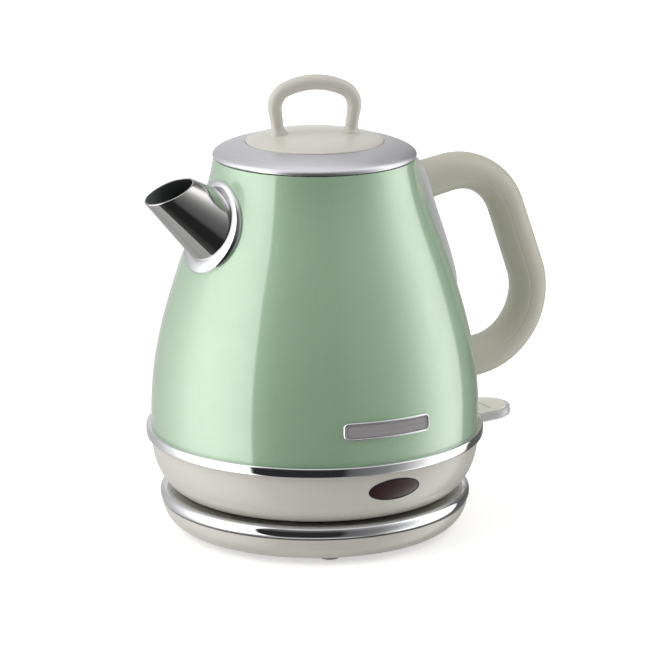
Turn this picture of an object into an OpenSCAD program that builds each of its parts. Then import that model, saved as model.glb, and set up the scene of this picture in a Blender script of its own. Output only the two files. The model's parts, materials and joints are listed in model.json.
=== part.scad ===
// Cordless electric kettle standing on its round power base.
// Millimetres, +Z up. The origin is on the kettle's axis, at the surface that the base stands on.
// -X is the spout, +X the handle and the switch, -Y the badge and the lamp.

/* [Jug] */
// Outer radius of the jug at its foot
jug_r = 79.7; // [78:0.1:81]
// Outer radius of the jug where the barrel turns into the neck
shoulder_r = 66.8; // [65:0.1:68]
// Outer radius of the jug at its mouth
mouth_r = 48.6; // [47.6:0.1:49.6]
// Thickness of the steel jug
jug_wall = 0.6; // [0.5:0.1:0.8]
// Height of the chrome band's middle above the table
band_z = 48.4; // [48:0.1:49]
// Height of the shoulder above the table
shoulder_z = 126; // [122:1:128]
// Height of the jug's mouth above the table
mouth_z = 182.5; // [181:0.5:184]

/* [Spout] */
// Upward angle of the spout's axis
spout_rise = 37.5; // [34:0.5:40]
// Outer radius of the spout tube where it leaves the jug
spout_r = 16.2; // [15:0.1:17]
// Loss of radius for each millimetre along the tube
spout_taper = 0.211; // [0.18:0.001:0.22]
// Length of the tube from its reference point to the middle of its mouth
spout_len = 24.4; // [22:0.1:27]
// Angle between the mouth and a square-cut end
mouth_tilt = 29.5; // [20:0.5:35]

/* [Handle] */
// Radius of the round grip
grip_r = 9.3; // [8:0.1:10]
// Wall of the two handle mouldings
grip_wall = 2.5; // [2:0.1:3]
// Length of the straight part of the grip
grip_len = 34; // [30:1:38]

/* [Lid] */
// Turn of the lid and its knob about the kettle's axis
lid_turn = -20; // [-90:1:90]
// Radius of the cream disc in the lid
cap_r = 33.2; // [31:0.1:35]
// Radius of the knob's round bar
knob_r = 3.7; // [3.4:0.1:3.9]

/* [Base] */
// Outer radius of the chrome ring round the base
ring_r = 75.7; // [75:0.1:77]
// Height of the rubber feet below the base
foot_h = 2; // [1.6:0.1:2.4]

/* [Fits] */
// Gap between parts that move on each other
run_gap = 0.3; // [0.3:0.05:0.5]

/* [Hidden] */

$fn = 96;
eps = 0.01;
far = 200;
hair = 0.02;

cream = [0.87, 0.85, 0.78];
green = [0.66, 0.82, 0.69];
chrome = [0.80, 0.80, 0.82];
steel = [0.70, 0.69, 0.71];
black = [0.13, 0.13, 0.14];
brass = [0.78, 0.65, 0.36];

// Power base, from the table upwards
shell_low_r = 66.8;
shell_high_r = 74.8;
shell_wall = 2.2;
shell_top_z = 13.5;
collar_r = 72.4;
collar_wall = 2.1;
collar_z = 18.5;
tray_z = 17.5;
tray_t = 0.8;
cover_t = 2;
ring_bead = 3.1;
ring_z = shell_top_z + ring_bead;
socket_r = 17.3;
socket_z = 29.3;
groove_in = 7.6;
groove_out = 12;
pin_hole_r = 3.2;
boss_r = 4;
base_boss_at = 40;
feet_at = 59;
feet_turn = -112;
gland_z = 8.6;
gland_bore = 3.5;
gland_r = 4.8;
gland_x = 69;
gland_len = 9;
saddle_x = 52;
saddle_len = 8;
saddle_w = 16;
clamp_t = 2;
lead_x = 24.5;
lead_len = 43;
lead_r = 1.1;
lead_gap = 2.6;

// Kettle-side half of the connector
skirt_in = 19.2;
skirt_out = 21;
connector_r = 23.6;
connector_z = 33.5;

// Lower housing
housing_z = 20.5;
housing_low_r = 68;
housing_high_r = 79.5;
housing_top_z = 45.6;
housing_wall = 2.2;
cover_r = 65.6;
cover_z = 22.7;
stud_at = 60;
stud_r = 3;
screw_r = 1.5;
lens_w = 26.6;
lens_h = 10.2;
lens_z = 37;
lens_edge = 0.8;
lens_proud = 0.1;
lamp_r = 3;
lamp_len = 18;
lamp_y = -69;

// Heater under the jug's floor
floor_z = 51;
floor_t = 0.7;
diffuser_r = 56;
diffuser_t = 2.4;
element_at = 48;
element_r = 3.4;
element_z = floor_z - diffuser_t - element_r;
thermostat_r = 26;
thermostat_z = 40.8;
lug_at = 30;
lug_r = 4.4;
disc_at = 12;
disc_r = 9.5;
clamp_screw_r = 1.6;
steam_at = [33.5, 20];
steam_r = 3;
steam_top = 170;

// Switch: a rocking lever with a paddle below the chrome band
pivot = [65, 0, 36.5];
pin_r = 1.7;
lever_w = 6;
lever_t = 3;
lever_back = 34;
lever_ahead = 6;
lever_hub_r = 3.2;
neck_w = 8;
neck_h = 10;
tongue_w = 20;
paddle_at = [81, 0, 45.2];
paddle_tilt = -2.5;
paddle_w = 28;
paddle_t = 4.8;
paddle_len = 28.6;
paddle_edge = 1.8;

// Spout and its strainer
spout_at = [-60, 0, 157.8];
spout_wall = 0.9;
spout_back = 20;
spout_reach = 45;
collar_steps = [[1.6, 4.9], [2.8, 4.2], [3.6, 3]];
filter_x = -45.1;
filter_t = 1.4;
filter_w = 30.4;
filter_low = 134;
filter_high = 167;

// Handle: it leaves the jug below the lid, bends down, and bends back to the jug
handle_start = [44, 0, 161.6];
handle_rise = 10;
handle_path = [[29.7, 0], [31, 80], [grip_len, 0], [32, 102], [24, 0]];
insert_len = 27;
part_line = 3.2;
part_gap = 0.05;
handle_bore_at = [[45, 0, 164], [72, 0, 71]];
handle_screw_len = 18;
handle_head_r = 3.2;
handle_head_len = 12;

// Water gauge under the handle
gauge_low = 84;
gauge_high = 177;
gauge_out = 6.6;
gauge_thin = 0.9;
gauge_full_z = 118;
gauge_w = 12.5;
gauge_w_low = 8.5;
window_w = 9.6;
window_low = 95;
window_high = 148;
seal_w = 1.3;

// Badge
badge_z = 67.5;
badge_turn = -2.8;
badge_w = 44.8;
badge_h = 8.5;
badge_corner = 2.6;
badge_edge = 1;
badge_t = 0.7;
badge_rim_t = 1.3;

// Lid
lid_z = mouth_z + run_gap;
lid_r = mouth_r + 0.3;
cap_z = mouth_z + 7.4;
cap_top = mouth_z + 11.8;
sheet = 0.8;
plug_r = 44;
plug_low = mouth_z - 7;
plug_wall = 0.8;
knob_feet = 16.6;
knob_top = 218.3;
knob_limb = [14, 0];
knob_corner = [9.5, 74];
knob_arch = [32, 48];
knob_join = 0.6;
knob_foot_r = 4.7;
knob_foot_h = 5.2;
knob_screw_top = 195;
knob_head_r = 3.2;
knob_head_h = 1.1;

// ---------- curves ----------

function bezier(p, t) =
    pow(1 - t, 3) * p[0] + 3 * t * pow(1 - t, 2) * p[1] + 3 * t * t * (1 - t) * p[2] + pow(t, 3) * p[3];

function curve(p, n) = [for (k = [0 : n]) bezier(p, k / n)];

// Side of the jug: a barrel, then a neck that sweeps in to the mouth
foot_z = band_z + 2.4;
barrel = [[jug_r, foot_z], [jug_r + 0.6, 82], [jug_r - 5.5, 103], [shoulder_r, shoulder_z]];
neck = [
    [shoulder_r, shoulder_z], [shoulder_r - 6.4, shoulder_z + 20],
    [mouth_r + 2.9, mouth_z - 20.5], [mouth_r, mouth_z]
];
jug_steps = 12;
jug_side = concat(curve(barrel, jug_steps), [for (k = [1 : jug_steps]) bezier(neck, k / jug_steps)]);

// How far the gauge stands proud of the jug at height z
function proud(z) =
    gauge_thin + (gauge_out - gauge_thin) * min(1, max(0, (z - gauge_low) / (gauge_full_z - gauge_low)));

// Side of the lower housing and of the base's shell
housing_side = curve([
    [housing_low_r, housing_z], [housing_low_r + 5, housing_z + 2.7],
    [housing_high_r + 0.3, housing_top_z - 14], [housing_high_r, housing_top_z]
], 10);
shell_side = curve([
    [shell_low_r, foot_h], [shell_low_r + 4.2, foot_h + 2],
    [shell_high_r - 0.6, shell_top_z - 5.5], [shell_high_r, shell_top_z]
], 8);

// ---------- shared shapes ----------

// Solid of revolution under a side line, moved outwards by grow
module turned(side, grow = 0, low, high) {
    first = side[0];
    last = side[len(side) - 1];
    rotate_extrude()
        polygon(concat(
            [[0, low]],
            low < first[1] ? [[first[0] + grow, low]] : [],
            [for (p = side) [p[0] + grow, p[1]]],
            high > last[1] ? [[last[0] + grow, high]] : [],
            [[0, high]]
        ));
}

module ring(r_in, r_out, low, high) {
    rotate_extrude()
        translate([r_in, low])
            square([r_out - r_in, high - low]);
}

module jug_form(grow = 0) {
    turned(jug_side, grow, band_z - 2.4, mouth_z + eps);
}

module housing_form(grow = 0) {
    turned(housing_side, grow, housing_z - eps, housing_top_z);
}

module around(count, radius, turn = 0) {
    for (k = [0 : count - 1])
        rotate([0, 0, turn + k * 360 / count])
            translate([radius, 0, 0])
                children();
}

module post(r, low, high) {
    translate([0, 0, low])
        cylinder(h = high - low, r = r);
}

// A path is a list of stretches, each [length, 0] or [radius, angle]. It starts up +Z and bends
// towards +X. This moves to the end of its first count stretches.
module beyond(path, count, i = 0) {
    size = path[i][0];
    bend = path[i][1];
    if (i == count)
        children();
    else if (bend == 0)
        translate([0, 0, size])
            beyond(path, count, i + 1)
                children();
    else
        translate([size, 0, 0])
            rotate([0, bend, 0])
                translate([-size, 0, 0])
                    beyond(path, count, i + 1)
                        children();
}

// A section carried along a path. Bends take a section that is a hair thicker, and straight
// stretches run on a little into them, so that the whole path is one solid.
module along(path, run_on = 0.4) {
    for (i = [0 : len(path) - 1])
        beyond(path, i)
            if (path[i][1] == 0)
                translate([0, 0, -run_on])
                    linear_extrude(height = path[i][0] + 2 * run_on)
                        let ($swell = 0)
                            children();
            else
                translate([path[i][0], 0, 0])
                    rotate([90, 0, 0])
                        mirror([1, 0, 0])
                            rotate_extrude(angle = path[i][1])
                                translate([path[i][0], 0])
                                    mirror([1, 0])
                                        let ($swell = hair)
                                            children();
}

module bar_section(r) {
    circle(r = r + $swell);
}

// Flat outline standing on the -Y side of the kettle and pushed through to the axis
module facing_front(z) {
    translate([0, 0, z])
        rotate([90, 0, 0])
            linear_extrude(height = far)
                children();
}

module rounded(w, h, r) {
    square([w - 2 * r, h], center = true);
    square([w, h - 2 * r], center = true);
    for (x = [-1, 1], y = [-1, 1])
        translate([x * (w / 2 - r), y * (h / 2 - r)])
            circle(r = r, $fn = 32);
}

module ellipse(w, h) {
    polygon([for (a = [0 : 9 : 351]) [w / 2 * cos(a), h / 2 * sin(a)]]);
}

// Pan-head screw standing head down at the origin
module screw(head_r, head_h, shank_r, len) {
    cylinder(h = head_h, r = head_r);
    cylinder(h = head_h + len, r = shank_r);
}

// ---------- power base ----------

module base_shell() {
    color(cream)
        difference() {
            union() {
                turned(shell_side, 0, foot_h, shell_top_z);
                post(collar_r, shell_top_z - 2, collar_z);
            }
            intersection() {
                turned(shell_side, -shell_wall, foot_h - 1, shell_top_z);
                post(far, 0, shell_top_z - shell_wall);
            }
            post(collar_r - collar_wall, shell_top_z - 3, collar_z + 1);
            cord_passage(gland_r);
        }
}

module base_rim() {
    bead_at = ring_r - ring_bead;
    color(chrome)
        rotate_extrude()
            difference() {
                union() {
                    translate([bead_at, ring_z])
                        circle(r = ring_bead);
                    translate([collar_r - collar_wall, collar_z])
                        square([bead_at - collar_r + collar_wall, ring_z + ring_bead - collar_z]);
                }
                translate([bead_at - 2 * ring_bead, shell_top_z - 1])
                    square([2 * ring_bead - bead_at + collar_r, collar_z - shell_top_z + 1]);
            }
}

module base_tray() {
    tray_r = collar_r - collar_wall;
    color(steel)
        difference() {
            union() {
                ring(socket_r + 0.4, tray_r, tray_z - tray_t, tray_z);
                ring(tray_r - 2 * tray_t, tray_r, tray_z - eps, collar_z);
                around(3, base_boss_at, 60)
                    post(boss_r, foot_h + cover_t, tray_z - tray_t + eps);
            }
            around(3, base_boss_at, 60)
                post(screw_r, foot_h, 13);
        }
}

module base_cover() {
    color(cream)
        difference() {
            union() {
                post(shell_low_r - shell_wall, foot_h, foot_h + cover_t);
                cord_saddle();
            }
            around(3, base_boss_at, 60) {
                post(screw_r, 0, 10);
                post(boss_r - 0.8, foot_h - 1, foot_h + 1.2);
            }
            around(3, feet_at, feet_turn)
                post(5, foot_h - 1, foot_h + 0.8);
            around(24, 26)
                translate([0, 0, foot_h + cover_t / 2])
                    cube([8, 1.6, cover_t + 1], center = true);
        }
}

module cord_saddle() {
    translate([saddle_x, -saddle_w / 2, foot_h + cover_t])
        cube([saddle_len, saddle_w, gland_z - lead_gap - foot_h - cover_t + 1.4]);
}

module base_socket() {
    color(black)
        difference() {
            union() {
                post(socket_r, foot_h + cover_t, socket_z);
                post(24, 13, tray_z - tray_t);
            }
            post(pin_hole_r, 12, socket_z + 1);
            ring(groove_in, groove_out, 12, socket_z + 1);
            for (y = [-lead_gap, 0, lead_gap] * 1.5)
                translate([14.5, y, gland_z])
                    rotate([0, 90, 0])
                        cylinder(h = 10, r = lead_r);
        }
}

module socket_contacts() {
    color(brass)
        for (turn = [0, 120, 240])
            rotate([0, 0, turn])
                translate([groove_in + 3, -2, 12])
                    cube([0.8, 4, 11]);
}

module base_screws() {
    color(steel)
        around(3, base_boss_at, 60)
            translate([0, 0, foot_h])
                screw(boss_r - 0.9, 1.2, screw_r, 9.5);
}

module rubber_feet() {
    color(black)
        around(3, feet_at, feet_turn)
            post(5, 0, foot_h + 0.8);
}

module cord_passage(r) {
    translate([60, 0, gland_z])
        rotate([0, 90, 0])
            cylinder(h = 30, r = r);
}

module cord_gland() {
    color(black)
        difference() {
            translate([gland_x, 0, gland_z])
                rotate([0, 90, 0])
                    cylinder(h = gland_len, r = gland_r);
            cord_passage(gland_bore);
        }
}

module cord_clamp() {
    top = gland_z + lead_gap;
    color(steel)
        difference() {
            union() {
                translate([saddle_x + 1, -saddle_w / 2, top - 1.2])
                    cube([saddle_len - 2, saddle_w, clamp_t]);
                for (y = [-6, 6])
                    translate([saddle_x + saddle_len / 2, y, top + clamp_t - 1.2])
                        cylinder(h = 1.4, r = 1.7);
            }
            for (y = [-lead_gap, 0, lead_gap])
                translate([50, y, gland_z])
                    rotate([0, 90, 0])
                        cylinder(h = 20, r = lead_r);
        }
}

module base_leads() {
    color(brass)
        for (side = [-1, 0, 1]) {
            translate([lead_x, side * lead_gap, gland_z])
                rotate([0, 90, 0])
                    cylinder(h = lead_len, r = lead_r);
            translate([lead_x, side * lead_gap * 1.5, gland_z])
                rotate([0, -90, 0])
                    cylinder(h = 7, r = lead_r);
            translate([lead_x, side * lead_gap * 1.25, gland_z])
                cube([2 * lead_r, 2 * lead_r + abs(side) * lead_gap / 2, 2 * lead_r], center = true);
        }
}

// ---------- connector under the kettle ----------

module kettle_connector() {
    color(black) {
        ring(skirt_in, skirt_out, 21, connector_z);
        post(connector_r, 30.5, connector_z);
        ring(9.2, 10, 18, 31);
        post(2, 20, 31);
    }
}

// ---------- kettle body ----------

module jug() {
    lip = mouth_r - 2.2;
    color(green)
        difference() {
            union() {
                difference() {
                    jug_form();
                    jug_form(-jug_wall);
                }
                ring(lip, mouth_r - eps, mouth_z - 1, mouth_z);
                ring(lip, lip + jug_wall, mouth_z - 3, mouth_z);
            }
            post(jug_r - jug_wall, 0, floor_z);
            spout_cone();
            gauge_opening(window_w + 2 * seal_w, window_low - seal_w, window_high + seal_w);
            handle_bores();
        }
}

module jug_band() {
    color(chrome)
        rotate_extrude()
            difference() {
                translate([jug_r + 0.15, band_z])
                    circle(r = 2.45);
                translate([0, band_z - 5])
                    square([jug_r, 10]);
            }
}

module lower_housing() {
    lip_r = jug_r - jug_wall - run_gap;
    color(cream)
        difference() {
            union() {
                difference() {
                    housing_form();
                    housing_form(-housing_wall);
                }
                ring(lip_r - 1.6, lip_r, housing_top_z - 2, floor_z - 1.4);
            }
            facing_front(lens_z)
                ellipse(lens_w + 2 * lens_edge, lens_h + 2 * lens_edge);
            switch_slot();
        }
}

module switch_slot() {
    translate([70, -tongue_w / 2 - 1.5, pivot[2] + 1])
        cube([20, tongue_w + 3, floor_z - pivot[2]]);
}

module underside_cover() {
    color(black)
        difference() {
            union() {
                ring(skirt_out + 0.6, cover_r, housing_z, cover_z);
                ring(57.5, 62.5, tray_z + run_gap, housing_z + eps);
                around(3, stud_at, 60)
                    post(stud_r + 1, cover_z - eps, cover_z + 1.3);
            }
            around(3, stud_at, 60) {
                post(screw_r, 10, 30);
                post(screw_r + 1.4, 10, housing_z - 0.6);
            }
        }
}

module housing_screws() {
    color(steel)
        around(3, stud_at, 60)
            translate([0, 0, housing_z - 2])
                screw(screw_r + 1.3, 1.4, screw_r, 14);
}

module lens_bezel() {
    color(black)
        difference() {
            lens_shell(1.5 * lens_proud)
                ellipse(lens_w + 2 * lens_edge, lens_h + 2 * lens_edge);
            facing_front(lens_z)
                ellipse(lens_w, lens_h);
        }
}

module indicator_lens() {
    color([0.30, 0.07, 0.09])
        lens_shell(lens_proud)
            ellipse(lens_w, lens_h);
}

module lens_shell(grow) {
    difference() {
        intersection() {
            housing_form(grow);
            facing_front(lens_z)
                children();
        }
        housing_form(-housing_wall);
    }
}

module indicator_lamp() {
    color([0.9, 0.55, 0.4])
        translate([-lamp_len / 2, lamp_y, lens_z])
            rotate([0, 90, 0])
                cylinder(h = lamp_len, r = lamp_r);
}

module lamp_leads() {
    color(brass)
        for (x = [-6, 6])
            translate([x, lamp_y + lamp_r + eps, lens_z])
                rotate([-90, 0, 0])
                    cylinder(h = 37, r = 0.8);
}

module heating_plate() {
    plate_r = jug_r - jug_wall;
    color(steel)
        difference() {
            union() {
                post(plate_r, floor_z, floor_z + floor_t);
                ring(plate_r - floor_t, plate_r, floor_z + eps, floor_z + 3);
            }
            translate([steam_at[0], steam_at[1], 0])
                cylinder(h = far, r = steam_r);
        }
}

module diffuser_plate() {
    color([0.75, 0.75, 0.77])
        difference() {
            post(diffuser_r, floor_z - diffuser_t, floor_z);
            translate([steam_at[0], steam_at[1], 0])
                cylinder(h = far, r = steam_r);
        }
}

module heating_element() {
    tail = 18;
    color(steel) {
        rotate([0, 0, 180 + tail])
            rotate_extrude(angle = 360 - 2 * tail)
                translate([element_at, element_z])
                    circle(r = element_r);
        for (turn = [-tail, tail])
            rotate([0, 0, 180 + turn])
                translate([element_at, 0, 0])
                    post(element_r - 0.6, 35, element_z);
    }
}

module plate_studs() {
    color(steel)
        difference() {
            around(3, stud_at, 60)
                post(stud_r, cover_z + 1.3, floor_z);
            around(3, stud_at, 60)
                post(screw_r, 20, housing_z + 13.4);
        }
}

module thermostat_body() {
    color([0.85, 0.83, 0.76])
        difference() {
            union() {
                post(thermostat_r, connector_z + 0.4, thermostat_z);
                around(3, lug_at, 90)
                    post(lug_r, connector_z + 0.4, thermostat_z);
            }
            around(3, lug_at, 90)
                post(clamp_screw_r, 20, far);
            for (x = [-disc_at, disc_at])
                translate([x, 0, 0])
                    post(disc_r + run_gap, thermostat_z - 1.4, thermostat_z + 1);
        }
}

module bimetal_discs() {
    color(brass)
        for (x = [-disc_at, disc_at])
            translate([x, 0, 0]) {
                post(disc_r, thermostat_z - 0.9, thermostat_z - 0.4);
                post(1.2, thermostat_z - 1.4, thermostat_z - 0.4);
            }
}

module control_screws() {
    color(steel)
        around(3, lug_at, 90) {
            post(clamp_screw_r, connector_z + 0.4, floor_z - diffuser_t);
            difference() {
                post(2.6, thermostat_z, floor_z - diffuser_t);
                post(clamp_screw_r, thermostat_z - 1, far);
            }
            difference() {
                post(3, connector_z - 1, connector_z + 0.4);
                translate([-4, -0.4, connector_z - 1 - eps])
                    cube([8, 0.8, 0.6]);
            }
        }
}

module steam_switch() {
    color(black)
        translate([steam_at[0], steam_at[1], 30])
            difference() {
                translate([-6.5, -5, 0])
                    cube([14, 12, 9]);
                translate([0, 0, 2])
                    cylinder(h = 20, r = steam_r - 1);
            }
}

module steam_tube() {
    color([0.9, 0.9, 0.88])
        translate([steam_at[0], steam_at[1], 0])
            difference() {
                post(steam_r, 39, steam_top);
                post(steam_r - 1, 38, steam_top + 1);
            }
}

module switch_bracket() {
    ear = 2;
    ear_w = 7.4;
    ear_top = pivot[2] + ear_w - 4;
    foot_w = 7;
    foot_t = 1.6;
    inside = lever_w / 2 + 0.5;
    color(steel)
        difference() {
            union() {
                for (y = [-inside - ear, inside])
                    translate([pivot[0] - 4, y, cover_z])
                        cube([ear_w, ear, ear_top - cover_z]);
                translate([pivot[0] - 8, -inside - ear, cover_z])
                    cube([foot_w, 2 * (inside + ear), foot_t]);
            }
            translate([pivot[0], 0, pivot[2]])
                rotate([90, 0, 0])
                    cylinder(h = 40, r = pin_r + run_gap, center = true);
        }
}

// ---------- spout and strainer ----------

function spout_radius(s) = spout_r - spout_taper * s;

module spout_axis() {
    translate(spout_at)
        rotate([0, spout_rise - 90, 0])
            children();
}

module spout_cone(grow = 0) {
    spout_axis()
        translate([0, 0, -spout_back])
            cylinder(h = spout_back + spout_reach, r1 = spout_radius(-spout_back) + grow,
                r2 = spout_radius(spout_reach) + grow);
}

module spout_tube() {
    color(chrome)
        difference() {
            spout_cone();
            spout_cone(-spout_wall);
            jug_form(-jug_wall);
            spout_axis()
                translate([0, 0, spout_len])
                    rotate([0, mouth_tilt, 0])
                        translate([-far / 2, -far / 2, 0])
                            cube(far);
        }
}

// The collar is built up in steps, each narrower and standing further off the jug
module spout_collar() {
    color(chrome)
        for (step = collar_steps)
            difference() {
                intersection() {
                    jug_form(step[0]);
                    spout_cone(step[1]);
                    translate([-far, -far / 2, 100])
                        cube(far);
                }
                jug_form();
                spout_cone();
            }
}

module filter_guides() {
    side = filter_w / 2 + 0.4;
    color(steel)
        difference() {
            intersection() {
                jug_form(-jug_wall);
                for (y = [-1, 1])
                    translate([filter_x - 25, y * side - 1.4, filter_low - 2])
                        cube([28, 2.8, filter_high - filter_low]);
            }
            translate([filter_x - run_gap, -side, filter_low - 0.5])
                cube([filter_t + 2 * run_gap, 2 * side, far]);
        }
}

module filter_frame() {
    border = 3;
    color(cream) {
        difference() {
            translate([filter_x, -filter_w / 2, filter_low])
                cube([filter_t, filter_w, filter_high - filter_low]);
            translate([filter_x - 1, border - filter_w / 2, filter_low + border])
                cube([filter_t + 2, filter_w - 2 * border, filter_high - filter_low - 2 * border]);
        }
        translate([filter_x + filter_t - eps, -5, filter_high - 2])
            cube([4, 10, 1.6]);
    }
}

module filter_mesh() {
    wire = 0.4;
    pitch = 2.6;
    w = filter_w - 6;
    h = filter_high - filter_low - 6;
    middle = filter_x + filter_t / 2;
    color(steel)
        intersection() {
            translate([middle, 0, (filter_low + filter_high) / 2])
                cube([1, w, h], center = true);
            union() {
                for (y = [-w / 2 : pitch : w / 2])
                    translate([middle - wire / 2, y, filter_low])
                        cube([wire, wire, h + 6]);
                for (z = [filter_low + 3 : pitch : filter_high - 3])
                    translate([middle - wire / 2, -w / 2, z])
                        cube([wire, w, wire]);
            }
        }
}

// ---------- handle ----------

module handle_place() {
    translate(handle_start)
        rotate([0, 90 - handle_rise, 0])
            children();
}

module handle_run() {
    handle_place()
        along(handle_path)
            children();
}

// Cut through the hollow grip: the outer moulding, or the cover that closes its inner side
module grip_section(cover) {
    edge = part_line + (cover ? part_gap : -part_gap) / 2;
    intersection() {
        difference() {
            circle(r = grip_r + $swell);
            circle(r = grip_r - grip_wall - $swell);
        }
        translate([cover ? edge - $swell : edge + $swell - 4 * grip_r, -2 * grip_r])
            square([4 * grip_r, 4 * grip_r]);
    }
}

module handle_shell() {
    color(cream)
        difference() {
            handle_run()
                grip_section(false);
            jug_form();
        }
}

module handle_cover() {
    color(cream)
        difference() {
            handle_run()
                grip_section(true);
            jug_form();
        }
}

// Threaded plugs in the handle's two ends
module handle_inserts() {
    plug_r = grip_r - grip_wall - hair;
    last = len(handle_path) - 1;
    color(steel)
        difference() {
            handle_place() {
                cylinder(h = insert_len, r = plug_r);
                beyond(handle_path, last)
                    translate([0, 0, 0.5])
                        cylinder(h = handle_path[last][0] - 0.5, r = plug_r);
            }
            jug_form();
            handle_bores();
        }
}

// Level bores through the jug's wall into the two plugs
module handle_bores() {
    for (at = handle_bore_at)
        translate(at)
            rotate([0, 90, 0])
                cylinder(h = handle_screw_len + 2, r = screw_r);
}

module handle_screws() {
    color(steel)
        for (at = handle_bore_at) {
            translate(at)
                rotate([0, 90, 0])
                    cylinder(h = handle_screw_len, r = screw_r);
            intersection() {
                jug_form(-jug_wall);
                translate(at)
                    rotate([0, 90, 0])
                        cylinder(h = handle_head_len, r = handle_head_r);
            }
        }
}

// ---------- water gauge ----------

// Outline of the gauge seen along X: wide and round at the top, narrow at the bottom
module gauge_outline() {
    polygon(concat(
        [for (a = [0 : 12 : 180]) [gauge_w * cos(a), gauge_high - gauge_w + gauge_w * sin(a)]],
        [for (a = [180 : 15 : 360]) [gauge_w_low * cos(a), gauge_low + gauge_w_low + gauge_w_low * sin(a)]]
    ));
}

module along_x() {
    rotate([90, 0, 90])
        linear_extrude(height = far)
            children();
}

module gauge_opening(w, low, high) {
    translate([20, -w / 2, low])
        cube([80, w, high - low]);
}

module gauge_proud(less = 0) {
    rotate_extrude()
        polygon(concat(
            [[0, gauge_low - 2]],
            [for (p = jug_side) if (p[1] > gauge_low - 8) [p[0] + proud(p[1]) - less, p[1]]],
            [[0, mouth_z]]
        ));
}

module gauge_frame() {
    color([0.85, 0.85, 0.82])
        difference() {
            intersection() {
                gauge_proud();
                along_x()
                    gauge_outline();
            }
            jug_form();
            gauge_opening(window_w, window_low, window_high);
            handle_run()
                bar_section(grip_r);
        }
}

module gauge_window() {
    color([0.75, 0.82, 0.80, 0.6])
        difference() {
            intersection() {
                gauge_proud(0.7);
                gauge_opening(window_w, window_low, window_high);
            }
            jug_form(-jug_wall - 1);
        }
}

module gauge_seal() {
    color([0.9, 0.9, 0.9])
        difference() {
            intersection() {
                jug_form();
                gauge_opening(window_w + 2 * seal_w, window_low - seal_w, window_high + seal_w);
            }
            jug_form(-jug_wall);
            gauge_opening(window_w, window_low, window_high);
        }
}

// ---------- badge ----------

module badge_part(grow) {
    difference() {
        intersection() {
            jug_form(grow);
            rotate([0, 0, badge_turn])
                facing_front(badge_z)
                    children();
        }
        jug_form();
    }
}

module badge_plate() {
    color([0.55, 0.55, 0.57])
        badge_part(badge_t)
            rounded(badge_w - 2 * badge_edge, badge_h - 2 * badge_edge, badge_corner - badge_edge);
}

module badge_rim() {
    color(chrome)
        badge_part(badge_rim_t)
            difference() {
                rounded(badge_w, badge_h, badge_corner);
                rounded(badge_w - 2 * badge_edge, badge_h - 2 * badge_edge, badge_corner - badge_edge);
            }
}

// ---------- lid ----------

rim_side = concat(
    [[lid_r - 0.6, lid_z], [lid_r, lid_z + 0.7], [lid_r, lid_z + 2.2]],
    curve([[lid_r - 0.1, lid_z + 2.5], [lid_r - 1, lid_z + 3.6], [41, cap_z - 1], [cap_r, cap_z]], 6)
);
dome = curve([[cap_r, cap_z + 0.2], [cap_r - 1.7, cap_z + 2.1], [16, cap_top], [0, cap_top]], 12);

module lid_rim() {
    color(steel)
        rotate_extrude()
            polygon(concat(
                rim_side,
                [[cap_r, cap_z - sheet]],
                [for (k = [6 : -1 : 0]) rim_side[3 + k] - [k == 6 ? 0 : sheet, sheet]],
                [[lid_r - sheet - 0.1, lid_z]]
            ));
}

module cap_form() {
    rotate_extrude()
        polygon(concat([[0, cap_z - 2], [cap_r, cap_z - 2]], dome));
}

module lid_cap() {
    color(cream)
        difference() {
            union() {
                cap_form();
                ring(cap_r - 4, cap_r + 2.5, cap_z - 3.3, cap_z - 1.9);
                knob_posts(boss_r, plug_low + plug_wall, cap_z);
            }
            knob_posts(screw_r, plug_low, knob_screw_top + 1);
        }
}

module knob_posts(r, low, high) {
    rotate([0, 0, lid_turn])
        around(2, knob_feet)
            post(r, low, high);
}

// The loop leans out, rounds two corners and crosses over on a flatter arch
module knob_run(r) {
    lean = knob_corner[1] + knob_arch[1] / 2;
    slope = knob_arch[1] / 2;
    arch_r = knob_arch[0];
    bend_r = knob_corner[0];
    join = [knob_join, 0];
    rise = arch_r * (1 - cos(slope)) + knob_join * sin(slope) + bend_r * (cos(slope) - cos(lean));
    across = arch_r * sin(slope) + knob_join * cos(slope) + bend_r * (sin(lean) - sin(slope));
    rotate([0, 0, lid_turn])
        translate([
            -across - knob_limb[0] * cos(lean),
            0,
            knob_top - rise - knob_limb[0] * sin(lean)
        ])
            rotate([0, 90 - lean, 0])
                along([knob_limb, knob_corner, join, knob_arch, join, knob_corner, knob_limb])
                    bar_section(r);
}

module lid_knob() {
    color(cream)
        difference() {
            union() {
                knob_run(knob_r);
                knob_posts(knob_foot_r, cap_z, cap_z + knob_foot_h);
            }
            cap_form();
            knob_posts(screw_r, plug_low, knob_screw_top + 1);
        }
}

module lid_liner() {
    color(steel)
        difference() {
            union() {
                ring(plug_r - plug_wall, plug_r, plug_low, lid_z + 1.2);
                post(plug_r, plug_low, plug_low + plug_wall);
                ring(plug_r - plug_wall, lid_r - sheet - 0.4, lid_z, lid_z + 1.2);
            }
            knob_posts(screw_r, plug_low - 1, knob_screw_top + 1);
        }
}

module lid_seal() {
    color([0.92, 0.92, 0.9])
        difference() {
            rotate_extrude()
                translate([plug_r + 0.6, plug_low + 3.5])
                    circle(r = 1.2);
            post(plug_r, plug_low, lid_z);
        }
}

module lid_screws() {
    color(steel) {
        knob_posts(knob_head_r, plug_low - knob_head_h, plug_low);
        knob_posts(screw_r, plug_low - knob_head_h, knob_screw_top);
    }
}

// ---------- switch ----------

module paddle_outline(less) {
    r = paddle_w / 2 - less;
    translate([0, -r])
        square([paddle_len - paddle_w / 2, 2 * r]);
    translate([paddle_len - paddle_w / 2, 0])
        circle(r = r);
}

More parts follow.
